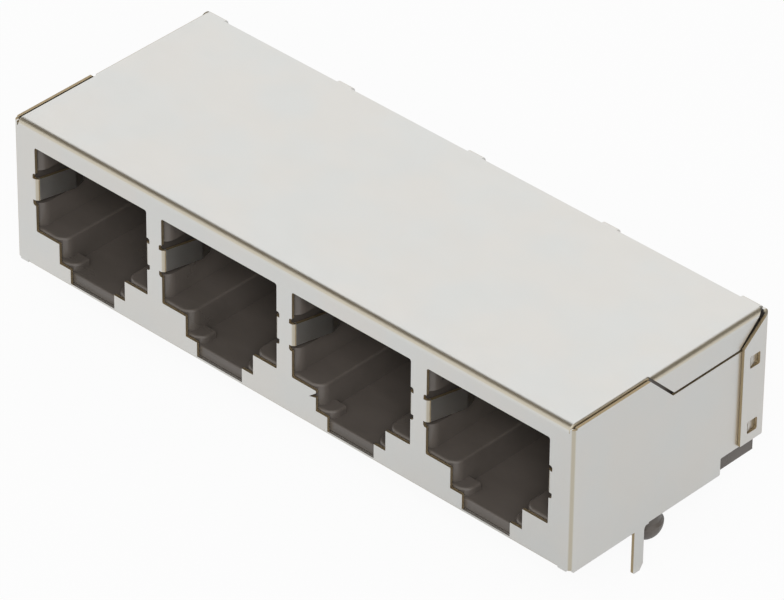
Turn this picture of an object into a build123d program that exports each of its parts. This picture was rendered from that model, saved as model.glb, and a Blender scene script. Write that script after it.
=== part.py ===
from build123d import *
import math
import os

# Board-mounted modular jack: four ports side by side in one folded metal shield, latch side down.
# Millimetres. +X runs along the row of ports, +Y into the ports and +Z up from the board.
# Everything is drawn with Y = 0 on the shield's front face and Z = 0 on the board. The pieces are moved
# when they are written, so that the origin of the files lies on the board, midway between the two pegs.

# Row of ports
port_count = 4
window_width = 12.36
window_web = 1.61
end_margin = 2.305
height = 13.42
depth = 21.57

# Sheet metal
sheet = 0.25
bend_inside = 0.15
top_bend_inside = 0.35
wrap_gap = 0.05

# Stepped opening of a port in the shield, from the wide window down to the narrow latch slot
top_band = 1.90
window_sill = 3.59
ledge_width = 7.29
ledge_sill = 1.71
slot_width = 4.87
window_round = 0.20
sill_round = 0.12
nick_width = 0.85
nick_drop = 0.70
nick_height = 0.48

# Sprung earthing fingers at both sides of a port
finger_low = 6.52
finger_width = 2.00
finger_slit = 0.50
slit_round = 0.22
finger_inset = 0.30
finger_flat = 0.12
finger_length = 3.6
finger_tail = 1.2
finger_lean = 14
finger_turn = 32

# Side flap bent down from the top plate, and the side plate's edge around it
flap_start = 8.63
flap_drop = 2.50
flap_gap = 0.24
flap_back = 3.02
seam_gap = 0.15
seam_drop = 0.12
seam_round = 0.18

# Side plate: its raised rear foot and its notched front corner
foot_back = 4.67
foot_rise = 1.68
skirt_rise = 0.12
corner_notch = 0.28

# Rear plate and its strips, which latch over catches on the side plates
strip_width = 2.77
strip_proud = 0.27
strip_drop = 2.49
strip_peak = 0.25
rear_low = 1.88
catch_window = 1.13
catch_inset = 0.90
catch_rise = 0.20
catch_low = 3.25
catch_drop = 4.07
catch_gap = 0.14
bridge_width = 1.50
corner_bridge = 2.26
bridge_notch = 0.47
bridge_depth = 0.55

# Floor flange and solder pins
flange_length = 3.20
flange_short = 1.24
pin_front = 7.22
pin_width = 1.10
pin_length = 3.97
pin_root = 0.50
pin_chamfer = 0.52

# Housing
rear_gap = 0.05
side_gap = 0.28
mouth_inset = 0.20
upright_lead = 1.00
level_lead = 0.20
channel_floor = 1.25
front_wall = 1.60
cavity_back = 7.97
back_wall = 0.80
comb_depth = 1.20
comb_drop = 4.00
roof = 0.47
pocket_depth = 2.60
pocket_wall = 1.00

# Board pegs
peg_setback = 10.90
peg_inset = 2.24
peg_neck = 1.31
peg_bulb = 1.52
peg_neck_length = 1.65
peg_length = 3.55
peg_fullness = 0.55
peg_relief = 0.10
peg_ring = 0.60

# Contacts and their carriers
contact_count = 8
contact_pitch = 1.02
pin_pitch = 1.27
row_gap = 2.54
row_back = 1.76
wire = 0.45
wire_gap = 0.03
spring_room = 0.15
wire_bend = 0.60
loop_bend = 0.42
run_drop = 1.25
loop_front = 2.35
loop_drop = 1.00
spring_drop = 5.30
spring_back = 0.65
tail_length = 3.20
insert_wall = 1.57
insert_gap = 0.05
insert_lift = 0.10
insert_shelf = 3.40
insert_nose = 1.65
rib_size = 0.50

# Worked out from the sizes above
port_pitch = window_width + window_web
half = port_count * port_pitch / 2 + end_margin - window_web / 2
ports = [(i - (port_count - 1) / 2) * port_pitch for i in range(port_count)]
bend = bend_inside + sheet
top_bend = top_bend_inside + sheet
rear_half = half + strip_proud
inner_rear = depth - sheet - rear_gap
window_top = height - top_band
window_edge = window_width / 2
finger_root = window_edge + finger_inset
finger_high = finger_low + finger_width

house_half = half - sheet - side_gap
house_front = sheet + wrap_gap
house_top = height - sheet - wrap_gap
cavity_end = depth - cavity_back
chamber_front = cavity_end + back_wall
chamber_top = house_top - roof
insert_half = (port_pitch - insert_wall) / 2
peg_x = half - peg_inset
spring_slot = wire + spring_room
contact_run = height - run_drop


def prism(axis, start, end, corners):
    """Straight solid along an axis. A corner is (a, b) or (a, b, radius) in the two other axes, in order."""
    places = {
        "x": lambda a, b: (start, a, b),
        "y": lambda a, b: (a, start, b),
        "z": lambda a, b: (a, b, start),
    }
    points = [places[axis](corner[0], corner[1]) for corner in corners]
    radii = [corner[2] if len(corner) > 2 else 0 for corner in corners]
    if any(radii):
        outline = FilletPolyline(*points, radius=radii, close=True)
    else:
        outline = Polyline(*points, close=True)
    along = {"x": (1, 0, 0), "y": (0, 1, 0), "z": (0, 0, 1)}[axis]
    return extrude(make_face(outline), amount=end - start, dir=along)


def block(x0, x1, y0, y1, z0, z1):
    """Box between two opposite corners."""
    return prism("z", z0, z1, [(x0, y0), (x1, y0), (x1, y1), (x0, y1)])


def folded(points, insides=None):
    """Corners of a folded sheet's section. The points follow one face, and the sheet lies to their left.

    The inside radii of its bends are given only where they aren't the usual one.
    """
    insides = insides or [bend_inside] * (len(points) - 2)
    steps = [Vector(*b) - Vector(*a) for a, b in zip(points, points[1:])]
    lefts = [Vector(-step.Y, step.X).normalized() for step in steps]
    near = [points[0]]
    far = [tuple(Vector(*points[0]) + lefts[0] * sheet)[:2]]
    for point, before, after, inside in zip(points[1:], lefts, lefts[1:], insides):
        turns_left = before.X * after.Y - before.Y * after.X > 0
        mitre = (before + after) * (sheet / (1 + before.dot(after)))
        other = Vector(*point) + mitre
        near.append((*point, inside + sheet if turns_left else inside))
        far.append((other.X, other.Y, inside if turns_left else inside + sheet))
    near.append(points[-1])
    far.append(tuple(Vector(*points[-1]) + lefts[-1] * sheet)[:2])
    return near + far[::-1]


def both_sides(solid):
    """The solid and its mirror image across the middle of the row."""
    return solid + mirror(solid, Plane.YZ)


# Shield, right half: front and side plates
def side_plate():
    path = [(0, 0), (half, 0), (half, inner_rear)]
    plate = prism("z", 0, height - seam_drop, folded(path))
    front_top = block(-1, half - bend, -1, bend, height - top_bend, height)
    front_low = block(half - flange_short, half - bend, -1, bend, -1, skirt_rise)
    corner_top = block(half - bend, half + 1, -1, bend, height - 2 * seam_drop, height)
    corner_low = block(half - bend, half + 1, -1, bend, -1, corner_notch)
    return plate - front_top - front_low - corner_top - corner_low - flap_edge() - foot_edge()


def flap_edge():
    """What the side plate leaves free above it: the room of the side flap."""
    low = height - flap_drop - flap_gap
    flap_line = flap_start + height - flap_gap * math.sqrt(2)
    outline = [
        (flap_line - height, height),
        (flap_line - low, low),
        (depth + 1, low),
        (depth + 1, height),
    ]
    return prism("x", half - bend, half + 1, outline)


def foot_edge():
    """What the side plate leaves free below it, behind the solder pin."""
    foot = depth - foot_back
    root = pin_front + pin_width + pin_root
    outline = [
        (root, -1),
        (root, skirt_rise),
        (foot, skirt_rise, skirt_rise),
        (foot, foot_rise, skirt_rise),
        (depth + 1, foot_rise),
        (depth + 1, -1),
    ]
    return prism("x", half - bend, half + 1, outline)


def solder_pin():
    rear = pin_front + pin_width
    point = pin_width / 3
    outline = [
        (pin_front, pin_root),
        (pin_front, -pin_length, point / 2),
        (rear - point, -pin_length),
        (rear, pin_chamfer - pin_length),
        (rear, skirt_rise, pin_root),
        (rear + 3 * pin_root, skirt_rise),
        (rear + 3 * pin_root, pin_root),
    ]
    return prism("x", half - sheet, half, outline)


def catches():
    rear = depth - catch_inset - catch_gap
    front = depth - catch_inset - catch_window + catch_gap
    reach = catch_window / 2 - catch_gap
    outline = [(half - sheet / 2, front), (half + catch_rise, front), (half, rear), (half - sheet / 2, rear)]
    return [prism("z", z - reach, z + reach, outline) for z in catch_heights()]


def catch_heights():
    return catch_low, height - catch_drop


# Shield, right half: top plate with its front and rear folds, and the side flap
def top_plate():
    low = height - 3 * bend
    section = folded([(depth, low), (depth, height), (0, height), (0, low)], [bend_inside, top_bend_inside])
    flap_room = block(half - top_bend, half, flap_start, depth - bend, low, height + 1)
    corner_room = block(half - bend, half, -1, bend, low - 1, height - top_bend)
    plate = prism("x", 0, half - sheet - seam_gap, section) - flap_room - corner_room
    rolled = plate.edges().filter_by(Axis.Y).group_by(Axis.X)[-1].sort_by(Axis.Z)[-1]
    return fillet(rolled, seam_round) - bridge_gaps()


def bridge_gaps():
    """Gaps between the bridging strips of the rear fold, on the right half of the row."""
    middles = [i * port_pitch for i in range(port_count // 2)]
    starts = [middle + bridge_width / 2 for middle in middles]
    ends = [middle - bridge_width / 2 for middle in middles[1:]] + [half - corner_bridge]
    rear, low = depth - bridge_notch, height - bridge_depth
    return [block(start, end, rear, depth + 1, low, height + 1) for start, end in zip(starts, ends)]


def side_flap():
    low = height - flap_drop
    back = depth - flap_back
    section = folded([(half, low), (half, height), (half - 2 * top_bend, height)], [top_bend_inside])
    outline = [
        (flap_start, height),
        (flap_start + flap_drop, low),
        (back, low),
        (depth - bend, height),
    ]
    return prism("y", flap_start, depth, section) & prism("x", half - 3 * top_bend, half + 1, outline)


# Shield, right half: rear plate with the strip that folds forward over the side plate
def rear_plate():
    front = depth - strip_width
    path = [(rear_half, front), (rear_half, depth), (0, depth)]
    plate = prism("z", rear_low, height - strip_peak, folded(path))
    under_fold = block(-1, half - bend + wrap_gap, front, depth + 1, height - bend, height + 1)
    outline = [
        (front - 1, height - strip_drop),
        (front, height - strip_drop),
        (depth, height - strip_peak),
        (depth, height),
        (front - 1, height),
    ]
    diagonal = prism("x", rear_half - bend, rear_half + 1, outline)
    return plate - under_fold - diagonal - bridge_gaps() - catch_windows()


def catch_windows():
    rear = depth - catch_inset
    front = rear - catch_window
    corner = catch_window / 8
    windows = []
    for z in catch_heights():
        low, high = z - catch_window / 2, z + catch_window / 2
        outline = [(front, low, corner), (rear, low, corner), (rear, high, corner), (front, high, corner)]
        windows.append(prism("x", rear_half - bend, rear_half + 1, outline))
    return windows


def floor_flange():
    section = folded([(0, 3 * bend), (0, 0), (flange_length, 0)])
    return prism("x", 0, half - flange_short, section)


# Shield: one port's opening and its two fingers
def window_cut(x):
    right = [
        (window_edge, window_top, window_round),
        (window_edge, window_sill, sill_round),
        (ledge_width / 2, window_sill),
        (ledge_width / 2, ledge_sill),
        (slot_width / 2, ledge_sill),
        (slot_width / 2, bend),
    ]
    left = [(-a, *rest) for a, *rest in right[::-1]]
    low, high = finger_low - finger_slit, finger_high + finger_slit
    slits = [
        (-finger_root, low, slit_round),
        (finger_root, low, slit_round),
        (finger_root, high, slit_round),
        (-finger_root, high, slit_round),
    ]
    return Pos(x, 0, 0) * (prism("y", -1, 2 * sheet, right + left) + prism("y", -1, 2 * sheet, slits))


def fingers(x):
    lean = math.radians(finger_lean)
    turn = math.radians(finger_turn - finger_lean)
    corner = -finger_root + finger_flat + bend * math.tan((math.pi / 2 - lean) / 2)
    knee = (corner + finger_length * math.sin(lean), finger_length * math.cos(lean))
    tip = (knee[0] - finger_tail * math.sin(turn), knee[1] + finger_tail * math.cos(turn))
    path = [(-finger_root - window_web / 4, 0), (corner, 0), knee, tip]
    left = prism("z", finger_low, finger_high, folded(path))
    return Pos(x, 0, 0) * both_sides(left)


def nick():
    """Small torn notch beside the third opening's left ledge."""
    edge = ports[2] - ledge_width / 2 + sheet / 2
    high = window_sill - sheet / 2
    outline = [(edge, high), (edge - nick_width, high - nick_drop), (edge, high - nick_height)]
    return prism("y", -1, 2 * sheet, outline)


def shield():
    plates = side_plate() - block(-1, half - flange_short, -1, bend, -1, bend)
    right = plates + floor_flange() + solder_pin() + catches() + top_plate() + side_flap() + rear_plate()
    whole = both_sides(right) - [window_cut(x) for x in ports] - nick()
    return whole + [fingers(x) for x in ports]


# Housing: one port's cavity, cut from the moulding
def mouth_profile():
    inner = window_edge - mouth_inset
    ledge = ledge_width / 2 - mouth_inset
    slot = slot_width / 2 - mouth_inset
    sill = window_sill + mouth_inset
    lower = ledge_sill + mouth_inset
    top = window_top - mouth_inset
    right = [(inner, top), (inner, sill), (ledge, sill), (ledge, lower), (slot, lower), (slot, channel_floor)]
    return right + [(-a, b) for a, b in right[::-1]]


def cavity_cut():
    ledge = ledge_width / 2 - mouth_inset
    sill = window_sill + mouth_inset
    mouth = prism("y", house_front, cavity_end, mouth_profile())
    return mouth + block(-ledge, ledge, house_front + front_wall, cavity_end, channel_floor, sill)


def finger_groove():
    reach = finger_root + wrap_gap
    low = finger_low - finger_slit - wrap_gap
    high = finger_high + finger_slit + wrap_gap
    return block(-reach, reach, 0, finger_length + finger_tail + sheet, low, high)


def comb():
    """Ribs that hold the free ends of the springs apart at the back of the port."""
    top = window_top - mouth_inset
    front = cavity_end - comb_depth
    reach = contact_count * contact_pitch / 2
    ribs = block(-reach, reach, front, cavity_end, top - comb_drop, top)
    for x in contact_places(contact_pitch):
        ribs -= block(x - spring_slot / 2, x + spring_slot / 2, front, cavity_end - sheet, 0, height)
    return ribs


def contact_places(pitch):
    return [(i - (contact_count - 1) / 2) * pitch for i in range(contact_count)]


def roof_groove(i):
    """Groove in the roof of the port, along the straight run of one contact wire."""
    start, end = contact_path(i)[2], contact_path(i)[1]
    slant = (end[0] - start[0]) / (end[1] - start[1])
    front, back = loop_front - wire, chamber_front + insert_gap
    near, far = [start[0] + slant * (y - start[1]) for y in (front, back)]
    reach = spring_slot / 2
    outline = [(near - reach, front), (near + reach, front), (far + reach, back), (far - reach, back)]
    return prism("z", window_top - 2 * mouth_inset, contact_run + reach, outline)


def pockets():
    """Cored pockets in the underside, between the latch channels."""
    edge = ledge_width / 2 - mouth_inset + pocket_wall
    front = flange_length + pocket_wall
    back = peg_setback - peg_bulb - pocket_wall
    gaps = [(left + edge, right - edge) for left, right in zip(ports, ports[1:])]
    gaps += [(ports[-1] + edge, house_half - pocket_wall), (pocket_wall - house_half, ports[0] - edge)]
    return [block(start, end, front, back, -1, pocket_depth) for start, end in gaps]


def peg():
    """Board peg: a neck that passes through the board, then a bulb that tapers to a round end."""
    shoulder = -peg_neck_length - (peg_bulb - peg_neck)
    side = (peg_bulb, 0, shoulder - peg_fullness * (peg_length + shoulder))
    below = (peg_bulb * peg_fullness, 0, -peg_length)
    dome = Bezier((peg_bulb, 0, shoulder), side, below, (0, 0, -peg_length))
    upper = Polyline(
        (0, 0, -peg_length),
        (0, 0, peg_relief),
        (peg_neck, 0, peg_relief),
        (peg_neck, 0, -peg_neck_length),
        (peg_bulb, 0, shoulder),
    )
    return revolve(make_face(dome + upper), Axis.Z)


def housing():
    outline = [
        (house_front, 0),
        (inner_rear, 0),
        (inner_rear, house_top, bend),
        (house_front, house_top, bend),
    ]
    body = prism("x", -house_half, house_half, outline)
    body -= [Pos(x, 0, 0) * cavity_cut() for x in ports]
    body = fillet(mouth_edges(body, upright=True), upright_lead)
    body = fillet(mouth_edges(body, upright=False), level_lead)
    body += [Pos(x, 0, 0) * comb() for x in ports]
    body -= [Pos(x, 0, 0) * finger_groove() for x in ports]
    body -= [Pos(x, 0, 0) * roof_groove(i) for x in ports for i in range(contact_count)]
    room = insert_half + insert_gap
    chamber = block(-room, room, chamber_front, depth, -1, chamber_top) + both_sides(rib_groove())
    body -= [Pos(x, 0, 0) * chamber for x in ports]
    body -= pockets()
    body -= block(-half, half, 0, flange_length + wrap_gap, -1, sheet + wrap_gap)
    ring = Pos(0, 0, peg_relief / 2) * Cylinder(peg_bulb + peg_ring, peg_relief)
    for x in (-peg_x, peg_x):
        body = body - Pos(x, peg_setback, 0) * ring + Pos(x, peg_setback, 0) * peg()
    return body


def mouth_edges(body, upright):
    """Upright or level edges of the front face that bound a port, and not the moulding's outline."""
    found = []
    for edge in body.edges().filter_by_position(Axis.Y, house_front, house_front):
        box = edge.bounding_box()
        inside = abs(edge.center().X) < ports[-1] + window_edge
        bounds_port = inside and box.min.Z > channel_floor / 2 and box.max.Z < window_top
        if bounds_port and (box.size.Z > box.size.X) == upright:
            found.append(edge)
    return found


# Contacts and carriers
def contact_path(i):
    """Corners of one contact wire, from its tail under the board to the free end of its spring."""
    pin_x = contact_places(pin_pitch)[i]
    spring_x = contact_places(contact_pitch)[i]
    row = depth - row_back - (row_gap if i % 2 == 0 else 0)
    return [
        (pin_x, row, -tail_length),
        (pin_x, row, contact_run),
        (spring_x, loop_front, contact_run),
        (spring_x, loop_front, contact_run - loop_drop),
        (spring_x, cavity_end - spring_back, height - spring_drop),
    ]


def rod(i, radius):
    path = FilletPolyline(*contact_path(i), radius=[wire_bend, loop_bend, loop_bend])
    return sweep(Plane(origin=path @ 0, z_dir=path % 0) * Circle(radius), path=path)


def rib():
    """Rib on the carrier's right side, halfway up."""
    low, high = height / 2 - rib_size, height / 2 + rib_size
    near, far = insert_half - rib_size, insert_half + rib_size
    return block(near, far, chamber_front + insert_gap, inner_rear, low, high)


def rib_groove():
    """Groove in the housing that the rib slides into from the rear."""
    low, high = height / 2 - rib_size - insert_gap, height / 2 + rib_size + insert_gap
    return block(insert_half, insert_half + rib_size + insert_gap, chamber_front, depth, low, high)


def insert():
    front = chamber_front + insert_gap
    top = chamber_top - insert_gap
    body = block(-insert_half, insert_half, front, inner_rear, insert_lift, top) + both_sides(rib())
    body -= block(-half, half, front - 1, front + insert_nose, -1, top - insert_shelf)
    return body - [rod(i, wire / 2 + wire_gap) for i in range(contact_count)]


def write(name, solid):
    export_step(Pos(0, -peg_setback, 0) * solid, f"parts/{name}.step")
    print(name, "solids", len(solid.solids()), "volume", round(solid.volume, 2))


os.makedirs("parts", exist_ok=True)
write("shield", shield())
write("housing", housing())
carrier = insert()
wires = [rod(i, wire / 2) for i in range(contact_count)]
for number, x in enumerate(ports, 1):
    write(f"insert_{number}", Pos(x, 0, 0) * carrier)
    for place, spring in enumerate(wires, 1):
        write(f"contact_{number}_{place}", Pos(x, 0, 0) * spring)
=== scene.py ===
# %% [markdown]
# This script dresses a block of four network jacks, made to be soldered to a circuit board. The solid pieces
# arrive from the CAD model at their true size, in metres, and nothing here moves or bends them. The script
# gives every surface its finish, and then sets up the stage, the light and the camera. The box of the bare
# model is measured first, and the floor is set at its lowest point.

import math

import bpy
from mathutils import Euler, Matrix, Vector


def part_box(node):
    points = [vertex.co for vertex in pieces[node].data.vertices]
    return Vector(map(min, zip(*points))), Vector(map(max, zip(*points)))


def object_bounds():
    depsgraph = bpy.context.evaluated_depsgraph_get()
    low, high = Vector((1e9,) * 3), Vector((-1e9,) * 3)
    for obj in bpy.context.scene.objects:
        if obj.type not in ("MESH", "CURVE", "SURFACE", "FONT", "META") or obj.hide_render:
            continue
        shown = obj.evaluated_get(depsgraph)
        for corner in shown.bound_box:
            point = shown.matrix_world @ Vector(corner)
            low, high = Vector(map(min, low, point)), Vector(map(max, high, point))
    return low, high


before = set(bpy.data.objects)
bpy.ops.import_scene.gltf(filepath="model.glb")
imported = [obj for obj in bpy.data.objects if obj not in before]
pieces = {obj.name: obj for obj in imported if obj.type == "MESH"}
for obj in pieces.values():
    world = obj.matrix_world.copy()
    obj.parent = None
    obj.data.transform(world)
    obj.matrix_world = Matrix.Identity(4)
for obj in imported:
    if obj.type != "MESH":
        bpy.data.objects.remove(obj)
cad_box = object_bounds()
print("pieces loaded:", len(pieces))

# %% [markdown]
# The finishes need to know where the folded sheet has its walls, its bends and its cut edges. The outer
# sizes are read from the shield itself. Only the few sizes that the box of a piece can't tell, such as how
# thick the sheet is, are written here.

# %% Measure the shield
MM = 0.001
SHEET = 0.25 * MM
BEND = 0.40 * MM
TOP_BEND = 0.60 * MM
FLAP_START = 8.63 * MM
STRIP_PROUD = 0.27 * MM
SLACK = 0.03 * MM

shield_low, shield_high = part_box("shield")
front = shield_low.y
rear = shield_high.y
top = shield_high.z
side = shield_high.x - STRIP_PROUD
print("shield, mm:", [round((b - a) / MM, 2) for a, b in zip(shield_low, shield_high)])

# %% [markdown]
# A procedural finish is a small sum worked out for every point of a surface. In Blender each step of such a
# sum is a node, and long sums become a tangle of nodes. Here one small class wraps the output of a node, so
# that the sums can be written with Python's own signs. Plain values go through Math nodes. Colours and
# vectors go through Vector Math and Mix, because a Math node would turn a colour grey.

# %% Write shader sums as Python sums
class Signal:
    """The output of a shader node. Python's operators on it add the nodes that do the sum."""

    def __init__(self, home, socket):
        self.home = home
        self.socket = socket

    def sum_node(self, operation, *values):
        types = [value.socket.type for value in values if isinstance(value, Signal)]
        plain = all(kind == "VALUE" for kind in types)
        node_kind = "ShaderNodeMath" if plain else "ShaderNodeVectorMath"
        return self.home.node(node_kind, {"operation": operation}, dict(enumerate(values)))

    def __add__(self, other):
        return self.sum_node("ADD", self, other)

    def __sub__(self, other):
        return self.sum_node("SUBTRACT", self, other)

    def __mul__(self, other):
        return self.sum_node("MULTIPLY", self, other)

    def __radd__(self, other):
        return self.sum_node("ADD", other, self)

    def __rsub__(self, other):
        return self.sum_node("SUBTRACT", other, self)

    def __rmul__(self, other):
        return self.sum_node("MULTIPLY", other, self)

    def __lt__(self, other):
        return self.sum_node("LESS_THAN", self, other)

    def __gt__(self, other):
        return self.sum_node("GREATER_THAN", self, other)

    def __abs__(self):
        return self.sum_node("ABSOLUTE", self)

    def largest(self, other):
        return self.sum_node("MAXIMUM", self, other)

    def along(self, axis):
        """One of the three values of a vector."""
        return self.home.node("ShaderNodeSeparateXYZ", {}, {0: self}, axis)

    def between(self, low, high):
        """1 where the value lies between two limits, and 0 elsewhere."""
        return (self > low) * (self < high)

    def ramp(self, low, high):
        """Rises smoothly from 0 at the low limit to 1 at the high one, which may be the smaller number."""
        settings = {"interpolation_type": "SMOOTHSTEP"}
        return self.home.node("ShaderNodeMapRange", settings, {0: self, 1: low, 2: high})

    def mix(self, first, second):
        """The first colour where the value is 0, the second where it is 1."""
        return self.home.node("ShaderNodeMix", {"data_type": "RGBA"}, {0: self, 6: first, 7: second}, 2)


# %% [markdown]
# Nodes live in a tree: a material has one, and so has the sky. Every node that this script adds to a tree
# comes from the one method called node. It takes the node's kind, its settings, and what goes into its
# sockets, either plain values or signals.

# %% Add nodes to a tree
class NodeTree:
    """The node tree of a material or of the sky."""

    def __init__(self, tree):
        self.tree = tree

    def node(self, kind, settings=None, sockets=None, output=0):
        """Adds a node, sets it up and returns one of its outputs."""
        made = self.tree.nodes.new(kind)
        for name, value in (settings or {}).items():
            setattr(made, name, value)
        for name, value in (sockets or {}).items():
            self.plug(made.inputs[name], value)
        return Signal(self, made.outputs[output])

    def plug(self, socket, value):
        if isinstance(value, Signal):
            self.tree.links.new(value.socket, socket)
        else:
            socket.default_value = value

    def ray(self, kind):
        """1 for the rays of one kind, such as the camera's own, and 0 for all others."""
        return self.node("ShaderNodeLightPath", output=f"Is {kind} Ray")


# %% [markdown]
# A finish is a material while it is being made. It starts as one Principled shader whose constant values are
# set directly on its sockets, and what varies over the surface is then plugged into the shader by name.

# %% Make a finish
class Finish(NodeTree):
    """A material under construction, around one Principled shader."""

    def __init__(self, name, **constants):
        self.material = bpy.data.materials.new(name)
        self.material.use_nodes = True
        super().__init__(self.material.node_tree)
        self.shader = self.tree.nodes["Principled BSDF"]
        for words, value in constants.items():
            self.shader.inputs[words.replace("_", " ").title().replace("Ior", "IOR")].default_value = value
        self.place = self.node("ShaderNodeTexCoord", output="Object")
        self.normal = self.node("ShaderNodeTexCoord", output="Normal")

    def varies(self, **signals):
        """What changes over the surface, by the name of the shader's socket."""
        for words, signal in signals.items():
            self.plug(self.shader.inputs[words.replace("_", " ").title()], signal)

    def noise(self, size, stretch=(1, 1, 1), detail=2.0):
        """Cloudy values from 0 to 1. A cloud's size is in metres, and stretch lengthens it along X, Y, Z."""
        scale = tuple(1 / (size * s) for s in stretch)
        spread = self.place * scale
        return self.node("ShaderNodeTexNoise", {}, {"Vector": spread, "Scale": 1.0, "Detail": detail})

    def bump(self, height, depth):
        """Normal of a surface that rises by depth, in metres, where height is 1."""
        return self.node("ShaderNodeBump", {}, {"Height": height, "Distance": depth, "Strength": 1.0})


def colour(red, green, blue):
    return (red, green, blue, 1.0)


def dress(names, finish):
    """Gives the named pieces a finish and prints the finish's name and its number of nodes."""
    for name in names:
        pieces[name].material_slots[0].material = finish.material
    print(finish.material.name, "on", len(names), "pieces,", len(finish.tree.nodes), "nodes")


# %% [markdown]
# The shield is thin copper alloy sheet, plated with satin nickel before it is punched and folded. That order
# shows: the plated faces are pale and neutral, and the punched edges show the brown bare metal through a thin
# smear of nickel. Along the outside of each sharp bend the colour is painted dull and olive, a painted dark
# reflection that deepens the dark line the bend mirrors. A mask for the cut edges could be painted by hand,
# but a sheet has a simple rule. In each wall, a face that doesn't look the way the wall looks is a cut edge.
# Two more cut edges face each other across the seam between the top and each side, in front of the flap. A
# bend looks along none of the three axes.

# %% Find the cut edges of the sheet
HALF_TURNED = 0.5
FINGER_LOW = 6.2 * MM
FINGER_HIGH = 8.7 * MM
FINGER_DEEP = 5.4 * MM


def cut_edges(finish):
    across = abs(finish.place.along("X"))
    deep = finish.place.along("Y")
    up = finish.place.along("Z")
    facing = {axis: abs(finish.normal.along(axis)) for axis in "XYZ"}
    inside = across < side - BEND
    below_top = up < top - BEND
    front_wall = inside * up.between(BEND, top - TOP_BEND) * (deep < front + SHEET + SLACK)
    rear_wall = inside * below_top * (deep > rear - SHEET - SLACK)
    side_wall = (across > side - SHEET - SLACK) * below_top * deep.between(front + BEND, rear - BEND)
    flange = inside * (up < SHEET + SLACK) * (deep > front + BEND)
    fingers = inside * up.between(FINGER_LOW, FINGER_HIGH) * deep.between(front + BEND, front + FINGER_DEEP)
    punched = (front_wall + rear_wall) * (facing["Y"] < HALF_TURNED)
    punched = punched + side_wall * (facing["X"] < HALF_TURNED)
    punched = punched + flange * (facing["Z"] < HALF_TURNED)
    punched = punched.largest(fingers * (facing["Z"] > HALF_TURNED))
    seam = (up > top - BEND) * (deep < front + FLAP_START)
    side_edge = (across > side - SHEET - SLACK) * (facing["Z"] > HALF_TURNED)
    top_edge = across.between(side - BEND - SLACK, side - SHEET) * (facing["X"] > HALF_TURNED)
    return punched.largest(seam * side_edge.largest(top_edge))


def straightness(finish):
    """1 on flat walls, and down to 0.7 in the middle of a bend, where the surface looks along no axis."""
    facing = [abs(finish.normal.along(axis)) for axis in "XYZ"]
    return facing[0].largest(facing[1]).largest(facing[2])


# %% [markdown]
# Nickel plating is never quite even. Broad, weak clouds drift between a warmer and a cooler white, finer
# smudges change how sharply it reflects, and the rolling of the sheet leaves a hardly visible grain along
# the row. The clouds go into the colour, the smudges into the roughness, and the grain into a bump of less
# than a thousandth of a millimetre.

# %% Satin nickel for the shield
NICKEL_WARM = colour(0.760, 0.745, 0.712)
NICKEL_COOL = colour(0.742, 0.745, 0.725)
# Painted dark reflection: the colour given to the middle of each bend, darker than the plated faces.
PAINTED_BEND_DARK = colour(0.600, 0.550, 0.445)
BARE_EDGE = colour(0.520, 0.420, 0.270)
BEND_STARTS = 0.990
BEND_MIDDLE = 0.850
SATIN = 0.30
SMUDGED = 0.10
EDGE_ROUGHNESS = 0.28
CLOUD = 7.0 * MM
CLOUD_LIMITS = (0.35, 0.65)
SMUDGE = 1.6 * MM
SMUDGE_STRETCH = (1.6, 1, 1)
GRAIN = 0.10 * MM
GRAIN_STRETCH = (14, 1, 1)
GRAIN_DEPTH = 0.0006 * MM


def satin_nickel():
    nickel = Finish("satin_nickel", metallic=1.0)
    clouds = nickel.noise(CLOUD, detail=3.0).ramp(*CLOUD_LIMITS)
    smudges = nickel.noise(SMUDGE, stretch=SMUDGE_STRETCH, detail=4.0)
    grain = nickel.noise(GRAIN, stretch=GRAIN_STRETCH)
    straight = straightness(nickel)
    cut = cut_edges(nickel)
    faces = clouds.mix(NICKEL_WARM, NICKEL_COOL)
    # Painted dark reflection along each bend, ramping in where the surface stops looking along an axis.
    faces_and_painted_bends = straight.ramp(BEND_STARTS, BEND_MIDDLE).mix(faces, PAINTED_BEND_DARK)
    nickel.varies(
        base_color=cut.mix(faces_and_painted_bends, BARE_EDGE),
        roughness=SATIN + smudges * SMUDGED + cut * EDGE_ROUGHNESS,
        normal=nickel.bump(grain, GRAIN_DEPTH),
    )
    return nickel


dress(["shield"], satin_nickel())

# %% [markdown]
# The housing and the four contact carriers are moulded in black, glass-filled plastic. Such plastic isn't
# pure black: the light skin of the moulding gives it a brown or grey cast and a soft shine. The mould leaves
# a fine eroded grain, and the shine is a little uneven where the melt flowed.

# %% Black plastic for the housing and the carriers
HOUSING_BLACK = colour(0.098, 0.085, 0.074)
HOUSING_FLOW = colour(0.118, 0.102, 0.090)
CARRIER_BLACK = colour(0.070, 0.066, 0.062)
CARRIER_FLOW = colour(0.086, 0.082, 0.078)
HOUSING_ROUGHNESS = 0.24
CARRIER_ROUGHNESS = 0.36
PLASTIC_IOR = 1.55
FLOW = 3.0 * MM
FLOW_STRETCH = (2.2, 1, 1)
FLOW_LIMITS = (0.3, 0.7)
FLOW_DULLS = 0.10
MOULD_GRAIN = 0.09 * MM
MOULD_DEPTH = 0.003 * MM


def moulded(name, black, flow, roughness):
    plastic = Finish(name, metallic=0.0, ior=PLASTIC_IOR)
    streaks = plastic.noise(FLOW, stretch=FLOW_STRETCH, detail=3.0)
    grain = plastic.noise(MOULD_GRAIN)
    plastic.varies(
        base_color=streaks.ramp(*FLOW_LIMITS).mix(black, flow),
        roughness=roughness + streaks * FLOW_DULLS,
        normal=plastic.bump(grain, MOULD_DEPTH),
    )
    return plastic


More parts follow.
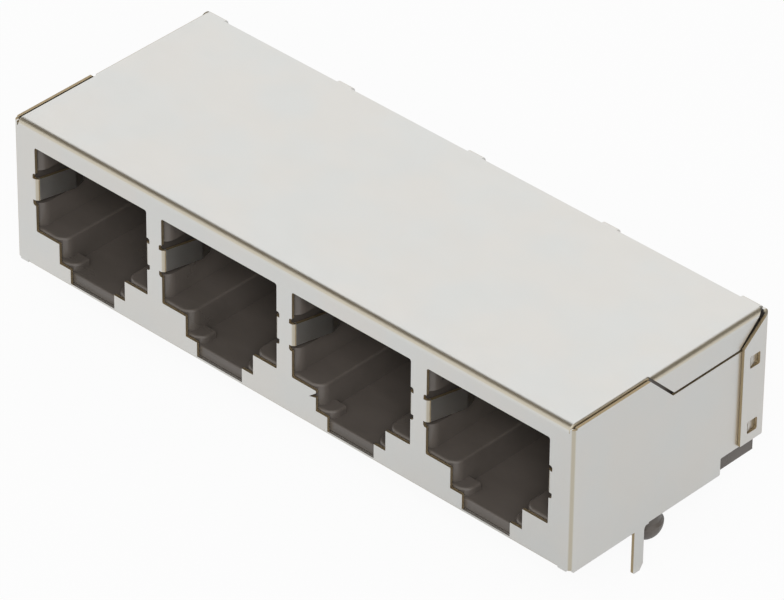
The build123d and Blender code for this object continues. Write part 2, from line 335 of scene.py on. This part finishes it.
carriers = sorted(name for name in pieces if name.startswith("insert"))
housing_plastic = moulded("black_housing_plastic", HOUSING_BLACK, HOUSING_FLOW, HOUSING_ROUGHNESS)
carrier_plastic = moulded("black_carrier_plastic", CARRIER_BLACK, CARRIER_FLOW, CARRIER_ROUGHNESS)
dress(["housing"], housing_plastic)
dress(carriers, carrier_plastic)

# %% [markdown]
# The contact wires are plated twice. The springs that touch the plug are gold, and the tails that are
# soldered to the board are dull tin. The two platings meet in a soft line, where the wire passes through its
# carrier.

# %% Gold springs and tin tails for the contacts
GOLD = colour(0.900, 0.660, 0.300)
TIN = colour(0.690, 0.690, 0.675)
TIN_LINE = 2.0 * MM
TIN_FADE = 0.8 * MM
GOLD_ROUGHNESS = 0.16
TIN_DULLER = 0.18
DRAWN = 0.06 * MM
DRAWN_STRETCH = (1, 10, 10)
DRAWN_DULLS = 0.08


def plated_wire():
    wire = Finish("gold_and_tin_wire", metallic=1.0)
    tin = wire.place.along("Z").ramp(TIN_LINE + TIN_FADE, TIN_LINE)
    drawing = wire.noise(DRAWN, stretch=DRAWN_STRETCH)
    wire.varies(
        base_color=tin.mix(GOLD, TIN),
        roughness=GOLD_ROUGHNESS + tin * TIN_DULLER + drawing * DRAWN_DULLS,
    )
    return wire


wires = sorted(name for name in pieces if name.startswith("contact"))
dress(wires, plated_wire())

# %% [markdown]
# The stage is a white floor at the tips of the pins, under a white sky. A Mix Shader chooses how much of the
# floor is plain white and how much is a matt grey, which takes the soft shadow of the part. The camera sees
# it nearly white. Reflections see less white, and least of all to the right of the ports, so that the front
# plate darkens towards that end and the side plate stands apart from the top. Every other ray sees matt grey.

# %% Floor
FLOOR_HALF = 3.0
MATT_GREY = colour(0.72, 0.72, 0.72)
MATT = 0.9
WHITE = colour(1.0, 1.0, 1.0)
WHITE_FOR_CAMERA = 0.94
WHITE_IN_GLOSS = 0.52
DIMMED = 0.28
DIM_FROM = -12.0 * MM
DIM_TO = 24.0 * MM


def floor_finish():
    paper = Finish("white_floor", roughness=MATT, base_color=MATT_GREY)
    mirrored_white = WHITE_IN_GLOSS - paper.place.along("X").ramp(DIM_FROM, DIM_TO) * DIMMED
    in_gloss = paper.ray("Glossy").largest(paper.ray("Transmission")) * mirrored_white
    white = (paper.ray("Camera") * WHITE_FOR_CAMERA).largest(in_gloss)
    glow = paper.node("ShaderNodeEmission", {}, {"Color": WHITE, "Strength": 1.0})
    matt = Signal(paper, paper.shader.outputs[0])
    shown = paper.node("ShaderNodeMixShader", {}, {0: white, 1: matt, 2: glow})
    paper.plug(paper.tree.nodes["Material Output"].inputs["Surface"], shown)
    return paper


def square_panel(name, half, finish):
    corners = [(-half, -half, 0), (half, -half, 0), (half, half, 0), (-half, half, 0)]
    mesh = bpy.data.meshes.new(name)
    mesh.from_pydata(corners, [], [(0, 1, 2, 3)])
    panel = bpy.data.objects.new(name, mesh)
    panel.data.materials.append(finish.material)
    bpy.context.scene.collection.objects.link(panel)
    return panel


floor = square_panel("floor", FLOOR_HALF, floor_finish())
floor.location.z = cad_box[0].z
print("floor at z, mm:", round(floor.location.z / MM, 2))

# %% [markdown]
# The sky is white to the camera and in reflections. As a light it is weaker, because it lights the matt
# plastic from all sides at once, and the lamp has to add to it without bleaching the floor.

# %% Sky
SKY_LIGHT = 0.55


def white_sky():
    world = bpy.data.worlds.new("white_studio")
    world.use_nodes = True
    bpy.context.scene.world = world
    sky = NodeTree(world.node_tree)
    seen = sky.ray("Camera").largest(sky.ray("Glossy")).largest(sky.ray("Transmission"))
    background = world.node_tree.nodes["Background"]
    sky.plug(background.inputs["Color"], WHITE)
    sky.plug(background.inputs["Strength"], SKY_LIGHT + (1 - SKY_LIGHT) * seen)
    print("sky:", len(sky.tree.nodes), "nodes")


white_sky()

# %% [markdown]
# In an all-white studio a polished bend has nothing dark to mirror, and a box of bright metal loses its
# edges. Photographers stand dark cards just outside the picture, where only the bends see them. Each card
# here lies in the direction that the darkest line along one top bend mirrors to the camera. The cards show in
# reflections only: they cast no shadow and take no light away.

# %% Dark cards for the bends
CARD_BLACK = colour(0.120, 0.100, 0.070)
CARD_DISTANCE = 0.60
EYE = Vector((0.2728429, -0.2907077, 0.2886238))
CARD_HALF = {"front": 0.26, "side": 0.22}
BEND_LOOKS = {"front": Vector((0, -0.47, 0.88)), "side": Vector((0.63, 0, 0.78))}


def mirrored(looks):
    """Direction in which a face that looks that way mirrors the camera's line of sight."""
    normal = looks.normalized()
    sight = EYE.normalized()
    return 2 * normal.dot(sight) * normal - sight


def card_finish():
    board = Finish("dark_card")
    dark = board.node("ShaderNodeEmission", {}, {"Color": CARD_BLACK, "Strength": 1.0})
    board.plug(board.tree.nodes["Material Output"].inputs["Surface"], dark)
    return board


dark_board = card_finish()
for bend, looks in BEND_LOOKS.items():
    way = mirrored(looks)
    card = square_panel(f"dark_card_{bend}", CARD_HALF[bend], dark_board)
    card.location = way * CARD_DISTANCE
    card.rotation_mode = "QUATERNION"
    card.rotation_quaternion = way.to_track_quat("Z", "Y")
    card.visible_camera = False
    card.visible_diffuse = False
    card.visible_transmission = False
    card.visible_shadow = False
    print("card for the", bend, "bend, towards", [round(c, 2) for c in way])

# %% [markdown]
# One large, soft lamp stands behind the camera, a little above its line of sight. From there it reaches the
# same walls inside the ports as the camera sees, so that the black moulding doesn't sink into shade, and the
# shadow falls behind the part. Reflections don't show the lamp, so the plating stays even.

# %% Soft lamp
LAMP_PLACE = Vector((0.50, -0.56, 0.58))
LAMP_SIZE = 0.45
LAMP_POWER = 5.2


def soft_lamp():
    light = bpy.data.lights.new("soft_lamp", "AREA")
    light.shape = "DISK"
    light.size = LAMP_SIZE
    light.energy = LAMP_POWER
    lamp = bpy.data.objects.new("soft_lamp", light)
    lamp.location = LAMP_PLACE
    lamp.rotation_mode = "QUATERNION"
    lamp.rotation_quaternion = LAMP_PLACE.to_track_quat("Z", "Y")
    lamp.visible_glossy = False
    bpy.context.scene.collection.objects.link(lamp)
    print("lamp, m from the part:", round(LAMP_PLACE.length, 2))


soft_lamp()

# %% [markdown]
# The camera stands high on the right in front of the ports and looks at them through a long lens, so that
# the long edges of the block run nearly parallel.

# %% Camera
LENS = 291.4035
CAMERA_TILT = (54.5573, -0.4822, 43.426)


def camera():
    optics = bpy.data.cameras.new("camera")
    optics.lens = LENS
    eye = bpy.data.objects.new("camera", optics)
    eye.location = EYE
    eye.rotation_euler = Euler([math.radians(angle) for angle in CAMERA_TILT])
    bpy.context.scene.collection.objects.link(eye)
    bpy.context.scene.camera = eye
    print("camera, m from the part:", round(EYE.length, 2))


camera()
bpy.context.scene.view_settings.view_transform = "Standard"
